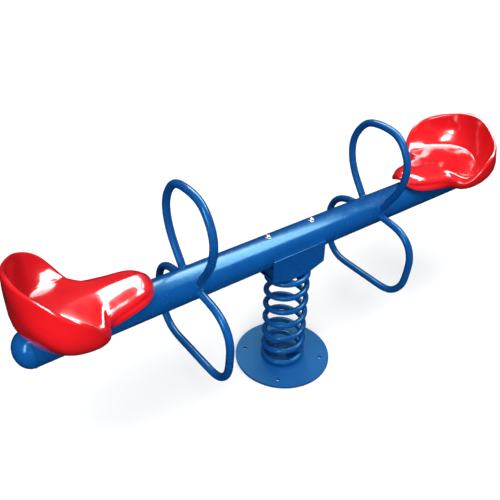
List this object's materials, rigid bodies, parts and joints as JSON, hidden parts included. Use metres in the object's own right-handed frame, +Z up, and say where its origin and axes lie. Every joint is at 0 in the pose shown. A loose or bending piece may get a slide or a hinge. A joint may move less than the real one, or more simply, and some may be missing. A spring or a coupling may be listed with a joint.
{
  "type": "seesaw",
  "caption": "Spring seesaw for a playground: a domed tube beam on a coil spring and round base plate, with bucket seats, hand loops and foot loops.",
  "frame": {"origin": "middle of the base plate's underside, on the ground", "axes": "+X along the beam, +Z up, +Y across the beam"},
  "size_m": [1.9626, 0.4634, 0.8916],
  "materials": {
    "frame_paint": "gloss blue powder coat",
    "spring_paint": "gloss blue powder coat on spring steel",
    "seat_plastic": "high gloss moulded red",
    "zinc_fasteners": "bright zinc plate"
  },
  "bodies": {
    "base": {"base_plate": "frame_paint", "lower_clamp_bolt_1": "frame_paint", "lower_clamp_bolt_2": "frame_paint", "lower_spring_clamp_1": "frame_paint", "lower_spring_clamp_2": "frame_paint"},
    "spring": {"coil_spring": "spring_paint"},
    "rocker": {"beam_bolt_left": "zinc_fasteners", "beam_bolt_right": "zinc_fasteners", "beam_cradle_left": "frame_paint", "beam_cradle_right": "frame_paint", "beam_nut_left": "zinc_fasteners", "beam_nut_right": "zinc_fasteners", "beam_tube": "frame_paint", "end_cap_left": "frame_paint", "end_cap_right": "frame_paint", "foot_loop_left": "frame_paint", "foot_loop_right": "frame_paint", "hand_loop_left": "frame_paint", "hand_loop_right": "frame_paint", "saddle_floor": "frame_paint", "saddle_front_plate": "frame_paint", "saddle_rear_plate": "frame_paint", "seat_bolt_left_1": "zinc_fasteners", "seat_bolt_left_2": "zinc_fasteners", "seat_bolt_left_3": "zinc_fasteners", "seat_bolt_left_4": "zinc_fasteners", "seat_bolt_right_1": "zinc_fasteners", "seat_bolt_right_2": "zinc_fasteners", "seat_bolt_right_3": "zinc_fasteners", "seat_bolt_right_4": "zinc_fasteners", "seat_carrier_left": "frame_paint", "seat_carrier_right": "frame_paint", "seat_left": "seat_plastic", "seat_right": "seat_plastic", "upper_clamp_bolt_1": "frame_paint", "upper_clamp_bolt_2": "frame_paint", "upper_clamp_nut_1": "frame_paint", "upper_clamp_nut_2": "frame_paint", "upper_spring_clamp_1": "frame_paint", "upper_spring_clamp_2": "frame_paint"}
  },
  "joints": [
    {"name": "rock", "type": "hinge", "parent": "base", "child": "spring", "pos_m": [0, 0, 0.2185], "axis": [0, 1, 0], "range_deg": [-15, 15], "stiffness_Nm_per_rad": 1300, "deforming": ["coil_spring"]},
    {"name": "sway", "type": "hinge", "parent": "spring", "child": "rocker", "pos_m": [0, 0, 0.2185], "axis": [1, 0, 0], "range_deg": [-6, 6], "stiffness_Nm_per_rad": 1300, "deforming": ["coil_spring"]}
  ]
}
